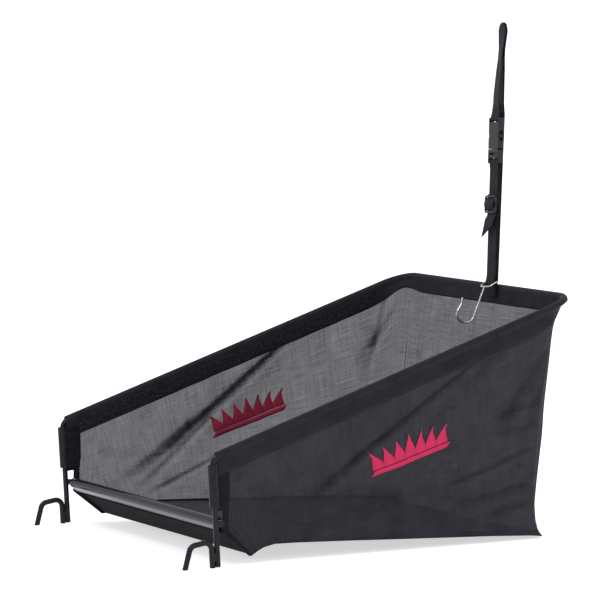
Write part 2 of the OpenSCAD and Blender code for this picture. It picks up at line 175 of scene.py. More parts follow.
def bump(tree, shader, height, distance, strength=1.0):
    n = tree.nodes.new("ShaderNodeBump")
    n.inputs["Distance"].default_value = distance
    n.inputs["Strength"].default_value = strength
    tree.links.new(height, n.inputs["Height"])
    tree.links.new(n.outputs[0], shader.inputs["Normal"])


def weave(tree, pitch, source="UV"):
    """Threads over and under each other, from 0 in the gaps to 1 on a crown. UVs and pitch are in metres."""
    coords = tree.nodes.new("ShaderNodeTexCoord")
    split = tree.nodes.new("ShaderNodeSeparateXYZ")
    tree.links.new(coords.outputs[source], split.inputs[0])
    turns = 2 * math.pi / pitch
    waves = [math_node(tree, "SINE", times(tree, split.outputs[axis], turns)) for axis in ("X", "Y")]
    return math_node(tree, "MULTIPLY_ADD", times(tree, *waves), 0.5, 0.5)


def cloth_shade(tree, shader, pitch, depth, source="UV"):
    """Bumps the cloth's threads, and gives a shade that follows its threads and blotches."""
    threads = weave(tree, pitch, source)
    blotch = noise_node(tree, 60, 5)
    bump(tree, shader, plus(tree, threads, times(tree, blotch, 0.6)), depth)
    return plus(tree, times(tree, threads, 0.35), blotch)


def fabric(name, low, high, rough, pitch, sheen=0.0, depth=0.00015, source="UV"):
    m, tree, shader = new_material(
        name, high, rough, Sheen_Weight=sheen, Sheen_Roughness=0.5, Specular_IOR_Level=CLOTH_SHINE
    )
    shade = cloth_shade(tree, shader, pitch, depth, source)
    paint(tree, shader, ramp(tree, shade, low, high, 0.2, 0.85))
    return m


def height_of(tree, vector, low, high, start, end):
    """From low to high as the vector's Z goes from start to end."""
    split = tree.nodes.new("ShaderNodeSeparateXYZ")
    tree.links.new(vector, split.inputs[0])
    return spread(tree, split.outputs["Z"], low, high, start, end)


def facing_up(tree, low, high):
    """From low on faces that look down to high on faces that look up."""
    geometry = tree.nodes.new("ShaderNodeNewGeometry")
    return height_of(tree, geometry.outputs["Normal"], low, high, -0.3, 0.5)


def coated_cloth():
    """Woven on its inner face, which looks up, and coated on its outer face. Faces that look down are
    painted darker, a painted shade, and reflect less; faces that look up get a painted sheen.
    """
    m, tree, shader = new_material(
        "coated_cloth", (0.018, 0.0172, 0.020), 0.75, Sheen_Roughness=0.5, Specular_IOR_Level=CLOTH_SHINE
    )
    # Painted shade: darker on faces that look down.
    shade = plus(tree, cloth_shade(tree, shader, 0.0009, 0.00015), facing_up(tree, -0.7, 0.0))
    paint(tree, shader, ramp(tree, shade, (0.0065, 0.0062, 0.0074), (0.018, 0.0172, 0.020), 0.0, 0.85))
    # Painted sheen on faces that look up, and painted shade on faces that look down, which lose most of
    # their reflection.
    tree.links.new(facing_up(tree, 0.0, 0.1), shader.inputs["Sheen Weight"])
    tree.links.new(facing_up(tree, 0.045, CLOTH_SHINE), shader.inputs["Specular IOR Level"])
    return m


def see_through_mesh():
    """Open weave: each thread hides what is behind it, and the gaps let light through.

    Single threads and groups of them stand out as lines. Folds hide more of what is behind them and are
    given a painted shade, with a painted highlight on one flank.
    """
    m, tree, shader = new_material("see_through_mesh", (0.02, 0.02, 0.024), 0.75, Specular_IOR_Level=0.1)
    threads = weave(tree, 0.0026)
    worn = noise_node(tree, 35, 4)
    weft = noise_node(tree, 620, 2, (0.05, 1, 1), "UV")
    warp = noise_node(tree, 420, 2, (1, 0.05, 1), "UV")
    lines = plus(tree, spread(tree, weft, -0.055, 0.055), spread(tree, warp, -0.04, 0.04))
    attribute = tree.nodes.new("ShaderNodeAttribute")
    attribute.attribute_name = FOLD_COVER_AND_SHADE
    fold_cover_and_shade = attribute.outputs["Fac"]
    cover = plus(tree, spread(tree, threads, 0.876, 0.939), spread(tree, worn, -0.03, 0.03))
    # The folds' painted shade adds to the cover, and their painted highlight takes from it.
    cover = plus(tree, plus(tree, cover, lines), fold_cover_and_shade)
    tree.links.new(math_node(tree, "MINIMUM", cover, 1.0), shader.inputs["Alpha"])
    shade = plus(tree, times(tree, threads, 0.3), worn)
    shade = plus(tree, shade, times(tree, lines, -9.0))
    # Painted shade in the folds, lighter where their lit flank has a painted highlight.
    shade = plus(tree, shade, times(tree, fold_cover_and_shade, -4.0))
    paint(tree, shader, ramp(tree, shade, (0.006, 0.0057, 0.0068), (0.029, 0.0275, 0.033), 0.1, 1.0))
    bump(tree, shader, threads, 0.0002)
    return m


def gloss_paint():
    m, tree, shader = new_material("black_gloss_paint", (0.006, 0.006, 0.007), 0.22, Specular_IOR_Level=0.2)
    peel = noise_node(tree, 900, 2)
    scuffs = noise_node(tree, 90, 6)
    tree.links.new(spread(tree, scuffs, 0.11, 0.26), shader.inputs["Roughness"])
    paint(tree, shader, ramp(tree, scuffs, (0.004, 0.004, 0.005), (0.010, 0.0095, 0.012), 0.35, 0.8))
    bump(tree, shader, peel, 0.00006, 0.6)
    return m


def clip_plastic(name, painted_shade_foot=False):
    """Extruded plastic. On a shaded foot, the reflection is painted out up to about a quarter of the piece's
    height: a painted shade.
    """
    shine = 0.12
    m, tree, shader = new_material(name, (0.010, 0.010, 0.013), 0.2, Specular_IOR_Level=shine)
    streaks = noise_node(tree, 220, 4, (0.02, 1, 1))
    tree.links.new(spread(tree, streaks, 0.12, 0.22), shader.inputs["Roughness"])
    paint(tree, shader, ramp(tree, streaks, (0.006, 0.006, 0.008), (0.014, 0.0135, 0.017)))
    bump(tree, shader, streaks, 0.00008, 0.5)
    if painted_shade_foot:
        # Painted shade: no reflection at the foot, rising to full reflection higher up.
        coords = tree.nodes.new("ShaderNodeTexCoord")
        reflection_above_foot = height_of(tree, coords.outputs["Generated"], 0.0, shine, 0.16, 0.3)
        tree.links.new(reflection_above_foot, shader.inputs["Specular IOR Level"])
    return m


def moulded_plastic():
    m, tree, shader = new_material(
        "moulded_buckle_plastic", (0.009, 0.009, 0.010), 0.38, Specular_IOR_Level=0.3
    )
    grain = noise_node(tree, 1600, 2)
    wear = noise_node(tree, 120, 5)
    tree.links.new(spread(tree, wear, 0.36, 0.55), shader.inputs["Roughness"])
    paint(tree, shader, ramp(tree, wear, (0.006, 0.006, 0.007), (0.014, 0.014, 0.017)))
    bump(tree, shader, grain, 0.00006, 0.5)
    return m


def plated_wire():
    m, tree, shader = new_material("plated_wire", (0.50, 0.46, 0.38), 0.28, Metallic=1.0)
    drawn = noise_node(tree, 500, 4)
    tree.links.new(spread(tree, drawn, 0.16, 0.36), shader.inputs["Roughness"])
    paint(tree, shader, ramp(tree, drawn, (0.26, 0.235, 0.19), (0.66, 0.62, 0.54)))
    return m


def loop_pile():
    """The fuzzy half of a hook-and-loop tape: dark, with pale tips."""
    m, tree, shader = new_material(
        "loop_pile", (0.02, 0.02, 0.024), 0.95, Sheen_Weight=0.05, Specular_IOR_Level=0.1
    )
    tips = noise_node(tree, 650, 5)
    paint(tree, shader, ramp(tree, tips, (0.005, 0.005, 0.006), (0.045, 0.045, 0.054), 0.45, 0.85))
    bump(tree, shader, tips, 0.0006)
    return m


def ink(name, colour, dark):
    m, tree, shader = new_material(name, colour, 0.7, Specular_IOR_Level=0.1)
    threads = weave(tree, 0.0024)
    patchy = plus(tree, times(tree, threads, 0.5), noise_node(tree, 120, 4))
    paint(tree, shader, ramp(tree, patchy, dark, colour, 0.25, 0.75))
    bump(tree, shader, threads, 0.0001)
    return m


def floor_material():
    m, tree, shader = new_material(
        "studio_floor", (0.93, 0.93, 0.93), 0.85, Specular_IOR_Level=0.05, Emission_Strength=0.6
    )
    shader.inputs["Emission Color"].default_value = (1, 1, 1, 1)
    paint(tree, shader, ramp(tree, noise_node(tree, 0.8, 2), (0.69, 0.69, 0.69), (0.71, 0.71, 0.71)))
    return m


MESH = see_through_mesh()
COATED = coated_cloth()
HEM_CLOTH = fabric("hem_cloth", (0.006, 0.006, 0.0075), (0.016, 0.0155, 0.019), 0.8, 0.0012, 0.03)
TAPE = fabric("binding_tape", (0.003, 0.003, 0.004), (0.009, 0.009, 0.011), 0.85, 0.0014, 0.02)
WEBBING = fabric("ribbed_webbing", (0.004, 0.004, 0.005), (0.014, 0.014, 0.017), 0.7, 0.0016, 0.03, 0.0003)
THREAD = fabric(
    "thread", (0.012, 0.012, 0.014), (0.035, 0.034, 0.039), 0.7, 0.0005, 0.05, 0.00005, source="Object"
)
PILE = loop_pile()
INK = ink("red_ink", (0.49, 0.025, 0.082), (0.33, 0.015, 0.055))
INK_SOAKED = ink("red_ink_soaked_through", (0.22, 0.014, 0.036), (0.11, 0.009, 0.022))
CAD_LOOKS = {
    gloss_paint(): ["rail_rod", "cross_rod", "hook_rod_left", "hook_rod_right", "weld_beads"],
    clip_plastic("extruded_clip_plastic"): ["post_clip_left", "post_clip_right"],
    clip_plastic("extruded_lip_plastic", painted_shade_foot=True): ["lip_clip"],
    moulded_plastic(): [
        "buckle_socket",
        "buckle_plug",
        "buckle_prong_left",
        "buckle_prong_right",
        "tri_glide",
    ],
    plated_wire(): ["wire_hook"],
}


# ---------------------------------------------------------------- mesh making
def finish_piece(obj, material, body=BAG, stands_for=()):
    obj.data.materials.append(material)
    for p in obj.data.polygons:
        p.use_smooth = True
    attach(obj, body)
    if stands_for:
        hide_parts(*stands_for)
    return obj


def mesh_object(name, verts, faces, uvs=None):
    mesh = bpy.data.meshes.new(name)
    mesh.from_pydata([tuple(v) for v in verts], [], faces)
    if uvs:
        layer = mesh.uv_layers.new(name="UVMap")
        for loop in mesh.loops:
            layer.data[loop.index].uv = uvs[loop.vertex_index]
    mesh.update()
    obj = bpy.data.objects.new(name, mesh)
    bpy.context.scene.collection.objects.link(obj)
    return obj


def apply_modifiers(obj):
    """Leaves obj with the mesh that its modifiers give, and no modifier."""
    made = bpy.data.meshes.new_from_object(obj.evaluated_get(bpy.context.evaluated_depsgraph_get()))
    obj.modifiers.clear()
    obj.data = made


def thicken(obj, thickness):
    m = obj.modifiers.new("Solidify", "SOLIDIFY")
    m.thickness = thickness * MM
    m.offset = 0.0
    apply_modifiers(obj)


def grid(size, step):
    """How many columns and rows of about step a sheet of that (width, length) has."""
    return [max(2, round(s / step)) for s in size]


def grid_places(columns, rows):
    """The (a, b) of each vertex of a grid, with a and b from 0 to 1."""
    return [(i / columns, j / rows) for j in range(rows + 1) for i in range(columns + 1)]


def grid_faces(columns, rows, base=0):
    wide = columns + 1
    starts = [base + j * wide + i for j in range(rows) for i in range(columns)]
    return [(n, n + 1, n + 1 + wide, n + wide) for n in starts]


def tube_faces(rings, sides, base=0):
    """The faces of a closed tube of that many rings, with flat ends."""
    faces = []
    for r in range(rings - 1):
        for n in range(sides):
            a = base + r * sides + n
            b = base + r * sides + (n + 1) % sides
            faces.append((a, b, b + sides, a + sides))
    faces.append(tuple(base + n for n in reversed(range(sides))))
    faces.append(tuple(base + (rings - 1) * sides + n for n in range(sides)))
    return faces


def patch(name, point, size, step, thickness=0.0):
    """A sheet from point(a, b), with a and b from 0 to 1. Its rough (width, length) sets its grid."""
    columns, rows = grid(size, step)
    places = grid_places(columns, rows)
    verts = [point(a, b) for a, b in places]
    uvs = [(a * size[0] * MM, b * size[1] * MM) for a, b in places]
    obj = mesh_object(name, verts, grid_faces(columns, rows), uvs)
    if thickness:
        thicken(obj, thickness)
    return obj


# A stitch at shares of its length: its thickness and how high it lies, as shares of the thread's radius.
STITCH = [(0.0, 0.3, -0.4), (0.2, 1.0, 0.5), (0.8, 1.0, 0.5), (1.0, 0.3, -0.4)]
THREAD_SIDES = 6


def stitches(name, place, length, pitch=3.6, stitch=2.4, radius=0.32):
    """A row of stitches. place(s) gives the point, in metres, and the surface's normal at s millimetres."""
    verts, faces = [], []
    angles = [2 * math.pi * n / THREAD_SIDES for n in range(THREAD_SIDES)]
    for k in range(int((length - stitch) / pitch)):
        places = [place(k * pitch + stitch * share) for share, _, _ in STITCH]
        run = (places[-1][0] - places[0][0]).normalized()
        up = places[0][1].normalized()
        out = run.cross(up)
        faces += tube_faces(len(STITCH), THREAD_SIDES, len(verts))
        for (p, _), (_, thick, lift) in zip(places, STITCH):
            centre = p + up * lift * radius * MM
            verts += [centre + (up * math.sin(a) + out * math.cos(a)) * radius * thick * MM for a in angles]
    return mesh_object(name, verts, faces)


# ---------------------------------------------------------------- the bag's surface
SIDE_RUN = RAIL_LENGTH - CORNER_R * math.cos(SLOPE) - MESH_FRONT
ARC_RUN = CORNER_R * math.pi / 2
REAR_RUN = HALF_W - CORNER_R
HALF_RUN = SIDE_RUN + ARC_RUN + REAR_RUN
PANEL_RUN = SIDE_RUN + ARC_RUN
SIDE_DROP = 22.0
REAR_DROP = 18.0
HANG = -1.9


def rail_place(s):
    """At s from the mouth's end of the right rail: its centre (x, y), and the outward direction (x, y)."""
    if s <= SIDE_RUN:
        return HALF_W, MESH_FRONT + s, 1.0, 0.0
    if s <= SIDE_RUN + ARC_RUN:
        phi = (s - SIDE_RUN) / CORNER_R
        c, n = math.cos(phi), math.sin(phi)
        return HALF_W - CORNER_R + CORNER_R * c, RAIL_LENGTH - CORNER_R * math.cos(SLOPE) * (1 - n), c, n
    return REAR_RUN - (s - SIDE_RUN - ARC_RUN), RAIL_LENGTH, 0.0, 1.0


CORNER_MIDDLE = SIDE_RUN + ARC_RUN / 2
CORNER_LIFT = 7.5
CORNER_IN = 4.0


def corner_pull(s):
    """1 in the middle of the rear corner, where the hem is drawn up and in."""
    return bell(s - CORNER_MIDDLE, 24.0)


def hem_drop(s):
    """How far below the rail's centre the hem's lower edge is."""
    return lerp(SIDE_DROP, REAR_DROP, smooth((s - SIDE_RUN) / ARC_RUN)) - CORNER_LIFT * corner_pull(s)


# The floor's edge along Y: half its width, and its height. Its front is a sill.
FLOOR_X = [(45, 183.5), (58, 182.5), (74, 181), (101, 180), (160, 177.5), (223, 175), (349, 171), (411, 167)]
SILL_Z = [(45, 9), (52, 13), (60, 16.5), (74, 19), (101, 18.5)]
FLOOR_Z = SILL_Z + [(160, 16), (223, 13), (349, 7.4), (400, 4.2), (419, 1.8)]
FOOT_FRONT = 45.0
FOOT_SIDE_END = 411.0
FOOT_CORNER_R = 8.0
FOOT_REAR_Z = 1.6


def foot_place(s):
    """The bag's bottom edge under the rail at s."""
    if s <= SIDE_RUN:
        y = lerp(FOOT_FRONT, FOOT_SIDE_END, s / SIDE_RUN)
        return Vector((along(FLOOR_X, y), y, along(FLOOR_Z, y)))
    middle = along(FLOOR_X, FOOT_SIDE_END) - FOOT_CORNER_R
    if s <= SIDE_RUN + ARC_RUN:
        phi = (s - SIDE_RUN) / CORNER_R
        y = FOOT_SIDE_END + FOOT_CORNER_R * math.sin(phi)
        return Vector((middle + FOOT_CORNER_R * math.cos(phi), y, along(FLOOR_Z, y)))
    t = (s - SIDE_RUN - ARC_RUN) / REAR_RUN
    return Vector((middle * (1 - t), FOOT_SIDE_END + FOOT_CORNER_R, FOOT_REAR_Z))


HEM_GRIP = 4.0
KNEE_Z = 38.0
KNEE_SHARE = 0.62


def front_place(v):
    """The mesh's front edge: from the hem, v 0, down to a knee, then slanting to the apron's foot, v 1."""
    knee = Vector((HALF_W + HANG, MESH_FRONT, KNEE_Z))
    top = Vector((HALF_W + HANG, MESH_FRONT, rail_z(MESH_FRONT) - SIDE_DROP + HEM_GRIP))
    if v < KNEE_SHARE:
        return top.lerp(knee, v / KNEE_SHARE)
    return knee.lerp(foot_place(0), (v - KNEE_SHARE) / (1 - KNEE_SHARE))


# How far the corner of the bag is drawn in, by height: it hangs slack over the stiff floor's corner.
CORNER_SLACK = [(0, 0), (0.10, 4.5), (0.45, 9.5), (0.75, 13.5), (0.86, 14), (0.93, 11), (0.975, 6), (1, 0)]
SLACK_WAY = Vector((0.47, 0.88, 0))
SLACK_REACH = {"side": 70.0, "rear": 48.0}
SIDE_BELLY = 4.5
REAR_BELLY = 5.0

# A fold of the loose mesh: its start and end as (y, z), its half width at each, its depth inwards, how far
# the cloth is drawn in from its sides, and how much painted shade it gets, with a painted highlight on one
# flank.
Fold = namedtuple("Fold", "start end wide depth gather dark")
FOLDS = {
    "left": [
        Fold((318, 219), (92, 56), (2.0, 6.0), 4.5, 0.2, 0.10),
        Fold((180, 112), (84, 34), (2.4, 4.0), 2.0, 0.1, 0.05),
        Fold((160, 112), (66, 44), (2.4, 5.0), 2.0, 0.1, 0.045),
        Fold((300, 190), (150, 70), (16, 14), 3.0, 0.0, 0.02),
        Fold((190, 68), (96, 28), (2.0, 2.6), 1.2, 0.1, 0.06),
        Fold((419, 252), (380, 152), (2.0, 4.5), 3.0, 0.1, 0.04),
        Fold((428, 226), (366, 160), (3.0, 6.0), 2.5, 0.1, 0.035),
        Fold((400, 225), (300, 60), (14, 20), 4.0, 0.0, 0.0),
    ],
    "right": [
        Fold((338, 212), (112, 58), (2.6, 5), 5.0, 0.3, 0.08),
        Fold((336, 196), (255, 120), (6, 9), 3.0, 0.1, 0.02),
        Fold((430, 246), (318, 190), (2.5, 5), 5.0, 0.3, 0.06),
        Fold((432, 236), (352, 118), (4, 9), 5.0, 0.2, 0.03),
        Fold((428, 215), (392, 118), (3, 6), 4.0, 0.1, 0.025),
        Fold((414, 152), (350, 136), (3, 5), 3.0, 0.2, 0.03),
        Fold((414, 128), (352, 116), (3, 5), 3.0, 0.2, 0.03),
        Fold((412, 102), (276, 62), (2.4, 3.2), 3.0, 0.3, 0.05),
        Fold((410, 60), (296, 44), (4, 6), 4.0, 0.2, 0.035),
        Fold((408, 40), (330, 26), (3, 4), 3.0, 0.2, 0.03),
        Fold((300, 52), (130, 64), (8, 12), 4.0, 0.0, 0.02),
        Fold((240, 60), (112, 28), (6, 9), 4.0, 0.1, 0.02),
    ],
}


def by_fold(fold, y, z):
    """Where (y, z) is by a fold: share of its length, distance across, half width, direction across."""
    run = Vector(fold.end) - Vector(fold.start)
    length = run.length
    run /= length
    across = Vector((-run.y, run.x))
    here = Vector((y, z)) - Vector(fold.start)
    t = here.dot(run) / length
    return t, here.dot(across), lerp(*fold.wide, min(1.0, max(0.0, t))), across


def fold_shift(folds, y, z):
    """What the folds do at a place on a side wall: (shift in y, shift in z, depth inwards)."""
    dy = dz = inward = 0.0
    for fold in folds:
        t, off, wide, across = by_fold(fold, y, z)
        fade = smooth((t + 0.08) / 0.2) * smooth((1.08 - t) / 0.25)
        if fade <= 0:
            continue
        g = bell(off, wide) * fade
        inward += g * fold.depth * wide / fold.wide[1]
        slide = across * (g * fold.gather * wide * 0.9)
        dy += slide.x
        dz += slide.y
    return dy, dz, inward


def fold_cover_and_shade_at(side, s, v):
    """How much the folds add to the cover at a place of the wall, as a share of cover: a painted shade along
    and around each crease, and a painted highlight on its lit flank, where cover is taken away.
    """
    _, y, _, _ = rail_place(s)
    foot = foot_place(s)
    here = Vector((lerp(y, foot.y, v), lerp(rail_z(y) - hem_drop(s), foot.z, v)))
    cover = 0.0
    for fold in FOLDS[side]:
        t, off, wide, _ = by_fold(fold, *here)
        fade = smooth((t + 0.05) / 0.2) * smooth((1.1 - t) / 0.4)
        # Painted shade on the crease and around it; painted highlight on the flank beyond.
        crease = 0.75 * bell(off + 0.5 * wide, 0.6 * wide)
        shade = 0.5 * bell(off, 1.6 * wide)
        lit_flank = 0.4 * bell(off - 1.7 * wide, wide)
        cover += (crease + shade - lit_flank) * fade * fold.dark
    return cover


def rail_place_top(s):
    """Where the wall's top edge is held, between the hem's flaps."""
    x, y, ox, oy = rail_place(s)
    outward = HANG - CORNER_IN * corner_pull(s)
    return Vector((x + ox * outward, y + oy * outward, rail_z(y) - hem_drop(s) + HEM_GRIP))


def belly(s, v):
    """How far the middle of a wall sags inwards."""
    if s < SIDE_RUN:
        return SIDE_BELLY * math.sin(math.pi * v) * smooth(s / 90) * smooth((SIDE_RUN - s) / 120)
    return REAR_BELLY * math.sin(math.pi * v) * smooth((s - PANEL_RUN) / 60)


def flutter(side, s, v):
    """The small waves of slack cloth, long and short."""
    long_wave = noise.noise(Vector((s * 0.021, v * 1.7, 3.1 if side == "left" else 8.7))) * 3.2
    short_wave = noise.noise(Vector((s * 0.05 + v * 2.2, v * 5.0 - s * 0.02, 5.5))) * 1.3
    return (long_wave + short_wave) * math.sin(math.pi * v) * smooth(s / 50)


def wall(side, s, v):
    """A point of the bag's wall at s along the rail from the mouth. v is 0 at the hem and 1 at the floor."""
    _, y, ox, oy = rail_place(s)
    foot = foot_place(s)
    p = rail_place_top(s).lerp(foot, v)
    lead = max(0.0, 1 - s / 60) ** 2
    if lead > 0:
        p += (front_place(v) - rail_place_top(0).lerp(foot_place(0), v)) * lead
    from_corner = s - CORNER_MIDDLE
    slack = along(CORNER_SLACK, v) * bell(from_corner, SLACK_REACH["side" if from_corner < 0 else "rear"])
    out = Vector((ox, oy, 0))
    p -= out.lerp(SLACK_WAY, 0.8 * bell(from_corner, 40)) * slack
    p -= out * (belly(s, v) + flutter(side, s, v))
    if s < PANEL_RUN:
        hold = smooth(v / 0.10) * smooth((1 - v) / 0.06) * smooth(s / 18)
        dy, dz, inward = fold_shift(FOLDS[side], y if s > SIDE_RUN else lerp(y, foot.y, v), p.z)
        p += Vector((-ox * inward, dy * ox - oy * inward, dz)) * hold
    if side == "left":
        p.x = -p.x
    return at(*p)


def wall_normal(side, s, v):
    """The outward normal of the wall."""
    e, d = 1.5, 0.008
    du = wall(side, s + e, v) - wall(side, s - e, v)
    dv = wall(side, s, min(1, v + d)) - wall(side, s, max(0, v - d))
    n = du.cross(dv).normalized()
    return n if side == "left" else -n


def off_wall(side, s, v, gap):
    return wall(side, s, v) + wall_normal(side, s, v) * gap * MM


SIDE_SIZE = (PANEL_RUN, 225)
REAR_SIZE = (2 * REAR_RUN, 245)
MESH_STEP = 2.4


def build_walls():
    made = {}
    for side in ("left", "right"):
        panel = patch(
            "side_panel_" + side, lambda a, b, side=side: wall(side, a * PANEL_RUN, b), SIDE_SIZE, MESH_STEP
        )
        mark_fold_cover_and_shade(panel, side)
        made[side] = finish_piece(panel, MESH, stands_for=["side_mesh_" + side])
    rear = patch("rear_panel", rear_wall, REAR_SIZE, MESH_STEP)
    made["rear"] = finish_piece(rear, MESH, stands_for=["rear_mesh"])
    return made


def mark_fold_cover_and_shade(panel, side):
    """Stores the folds' cover, with their painted shade and painted highlight, on a side panel's vertices,
    for its material.
    """
    attribute = panel.data.attributes.new(FOLD_COVER_AND_SHADE, "FLOAT", "POINT")
    for vertex, (a, b) in zip(attribute.data, grid_places(*grid(SIDE_SIZE, MESH_STEP))):
        vertex.value = fold_cover_and_shade_at(side, a * PANEL_RUN, b)


def rear_wall(a, b):
    """The rear wall from the left corner's seam to the right's."""
    s = abs(a - 0.5) * 2
    side = "left" if a < 0.5 else "right"
    return wall(side, HALF_RUN - s * REAR_RUN, b)


# ---------------------------------------------------------------- hems, tapes and bindings
ROLL_R = 4.1
ROLL_SHARE = 0.36
FLAP_HALF_GAP = 1.15
FLAP_OUT = HANG + FLAP_HALF_GAP
FLAP_IN = HANG - FLAP_HALF_GAP
FLAP_RIPPLE = 0.7
FLAP_TUCK = 5.0
HEM_START = -15.0
HEM_CLOTH_WIDTH = 58
HEM_CLOTH_T = 0.8
HEM_RUN = 2 * (HALF_RUN - HEM_START)


def hem_section(t, drop):
    """The hem round its rod at t from 0 to 1: up the outer flap, over the rod, down the inner flap.

    It gives (outward, up) from the rod's centre.
    """
    lap = (1 - ROLL_SHARE) / 2
    if t < lap:
        k = t / lap
        return lerp(FLAP_OUT, ROLL_R, smooth((k - 0.72) / 0.28)), lerp(-drop, 0, k)
    if t > 1 - lap:
        k = (1 - t) / lap
        return lerp(FLAP_IN, -ROLL_R, smooth((k - 0.72) / 0.28)), lerp(-drop + 1.2, 0, k)
    angle = math.pi * (t - lap) / ROLL_SHARE
    return ROLL_R * math.cos(angle), ROLL_R * math.sin(angle)


def whole_run(a):
    """From 0 at the left mouth to 1 at the right mouth: the side and the distance from that mouth."""
    s = HEM_START + a * HEM_RUN
    return ("left", s) if s <= HALF_RUN else ("right", 2 * HALF_RUN - s)


def hem_place(side, s, outward, up):
    """A point of the hem at s along the rail, outward and up from the rod's centre.

    Its flaps ripple, and are tucked in at the rear corners.
    """
    x, y, ox, oy = rail_place(s)
    ripple = noise.noise(Vector((s * 0.06, up * 0.12, 1.0 if side == "left" else 6.0)))
    outward += FLAP_RIPPLE * ripple * smooth(-up / 12)
    outward -= FLAP_TUCK * corner_pull(s) * smooth(-up / 14)
    rise = up / math.cos(SLOPE) if up > 0 else up
    p = Vector((x + ox * outward, y + oy * outward, rail_z(y) + rise))
    if side == "left":
        p.x = -p.x
    return at(*p)


def build_hem():
    def point(a, b):
        side, s = whole_run(a)
        return hem_place(side, s, *hem_section(b, hem_drop(s)))

    hem = patch("rail_hem", point, (HEM_RUN, HEM_CLOTH_WIDTH), 2.6, HEM_CLOTH_T)
    hems = ["rail_hem_left", "rail_hem_right", "rear_hem"]
    return finish_piece(hem, HEM_CLOTH, stands_for=hems)


def build_hem_stitches():
    """Two rows on the hem's outer face and one on its inner one, each up from the hem's lower edge."""
    proud = HEM_CLOTH_T / 2 + 0.05
    rows = []
    for name, outward, up in (
        ("outer", FLAP_OUT + proud, 3.0),
        ("inner", FLAP_IN - proud, 2.4),
        ("upper", FLAP_OUT + proud, 13.5),
    ):
        def place(d, outward=outward, up=up):
            side, s = whole_run(d / HEM_RUN)
            _, _, ox, oy = rail_place(s)
            normal = Vector((ox if side == "right" else -ox, oy, 0)) * (1 if outward > HANG else -1)
            return hem_place(side, s, outward, up - hem_drop(s)), normal

        rows.append(finish_piece(stitches("hem_stitches_" + name, place, HEM_RUN), THREAD))
    return rows


def build_loop_tapes():
    """The fuzzy tape along the inner face of each side hem, low to high above the hem's lower edge."""
    made = []
    start = -4.0
    finish = SIDE_RUN - 12.0
    low = 3.0
    high = 17.5
    for side in ("left", "right"):
        def point(a, b, side=side):
            s = lerp(start, finish, a)
            fuzz = noise.noise(Vector((s * 0.9, b * 13, 2.0))) * 0.35
            return hem_place(side, s, FLAP_IN - 0.95 - fuzz, lerp(low, high, b) - hem_drop(s))

        tape = patch("loop_tape_" + side, point, (finish - start, high - low), 1.5, 0.7)
        made.append(finish_piece(tape, PILE, stands_for=["hook_tape_" + side]))
    return made


WALL_HEIGHT = 230


def wall_strip(name, side, s_range, v_range, gap, thickness, step):
    """A strip lying on the wall, gap outwards, from s_range[0] to [1] and v_range[0] to [1]."""
    size = (s_range[1] - s_range[0], (v_range[1] - v_range[0]) * WALL_HEIGHT)
    return patch(
        name,
        lambda a, b: off_wall(side, lerp(*s_range, a), lerp(*v_range, b), gap),
        size,
        step,
        thickness,
    )


# Shares of the front edge, from the hem down: where the binding narrows at its back, and where the post's
# clip ends and the binding leaves the post.
BACK_STEP = 0.31
CLIP_END = 0.375
STEP_RUN = 0.025
BINDING_T = 2.0
FRONT_STITCH_RUN = 96


def binding_front(v):
    """Where the binding starts along the rail: on the post beside the clip, clear of it below."""
    return lerp(-13.0, -4.0, smooth((v - CLIP_END) / STEP_RUN))


def binding_back(v):
    """Where the binding ends along the rail."""
    return lerp(2.2, 0.6, smooth((v - BACK_STEP) / STEP_RUN))


def build_front_binding(side):
    """Doubled tape over the mesh's front edge."""
    def point(a, b):
        return off_wall(side, lerp(binding_front(b), binding_back(b), a), b, 0.0)

    tape = patch("front_binding_tape_" + side, point, (15, 150), 1.6, BINDING_T)
    return finish_piece(tape, TAPE, stands_for=["front_binding_" + side])


def build_seam_tapes(side):
    """The tapes inside the floor's seam and the rear corner's seam."""
    floor_seam = wall_strip(
        "floor_seam_tape_" + side, side, (4.0, CORNER_MIDDLE), (0.972, 0.998), -0.8, 0.6, 2.0
    )
    corner_seam = wall_strip(
        "corner_seam_tape_" + side, side, (PANEL_RUN - 0.5, PANEL_RUN + 0.5), (0.25, 0.97), -0.5, 0.0, 1.0
    )
    return [
        finish_piece(floor_seam, TAPE, stands_for=["floor_seam_" + side]),
        finish_piece(corner_seam, MESH, stands_for=["corner_seam_" + side]),
    ]


def build_front_stitches(side):
    """A row of stitches down the front binding's outer face."""
    s = 1.5

    def place(d):
        v = min(1, d / FRONT_STITCH_RUN)
        return off_wall(side, s, v, BINDING_T / 2), wall_normal(side, s, v)

    return finish_piece(stitches("front_stitches_" + side, place, FRONT_STITCH_RUN - 2), THREAD)


def build_sewn_pieces(side):
    return [build_front_binding(side), *build_seam_tapes(side), build_front_stitches(side)]


APRON_HALF_WIDTH = (182.0, 183.0)
FLOOR_SHEET_WIDTH = 366
FLOOR_T = 1.0
FLOOR_LOWEST = 1.2


def floor_profile():
    """The floor sheet's run as (y, z): from the lip down under the front edge, over the sill, and back."""
    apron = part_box("front_apron")
    lip = Vector((apron[0].y / MM - MOUTH_Y + 1.2, apron[1].z / MM - 1.0))
    fold = [Vector((38, 16.2)), Vector((43.5, 11.2)), Vector((45.6, 9.7)), Vector((48.5, 11.0))]
    return [lip, *fold] + [Vector((y, z + FLOOR_T / 2)) for y, z in FLOOR_Z if y > 50]


def floor_half_width(y):
    if y < FOOT_FRONT:
        return lerp(*APRON_HALF_WIDTH, y / FOOT_FRONT)
    corner = max(0.0, y - FOOT_SIDE_END)
    rounded = math.sqrt(max(0.0, FOOT_CORNER_R**2 - corner**2))
    return along(FLOOR_X, y) - FOOT_CORNER_R + rounded - 0.4


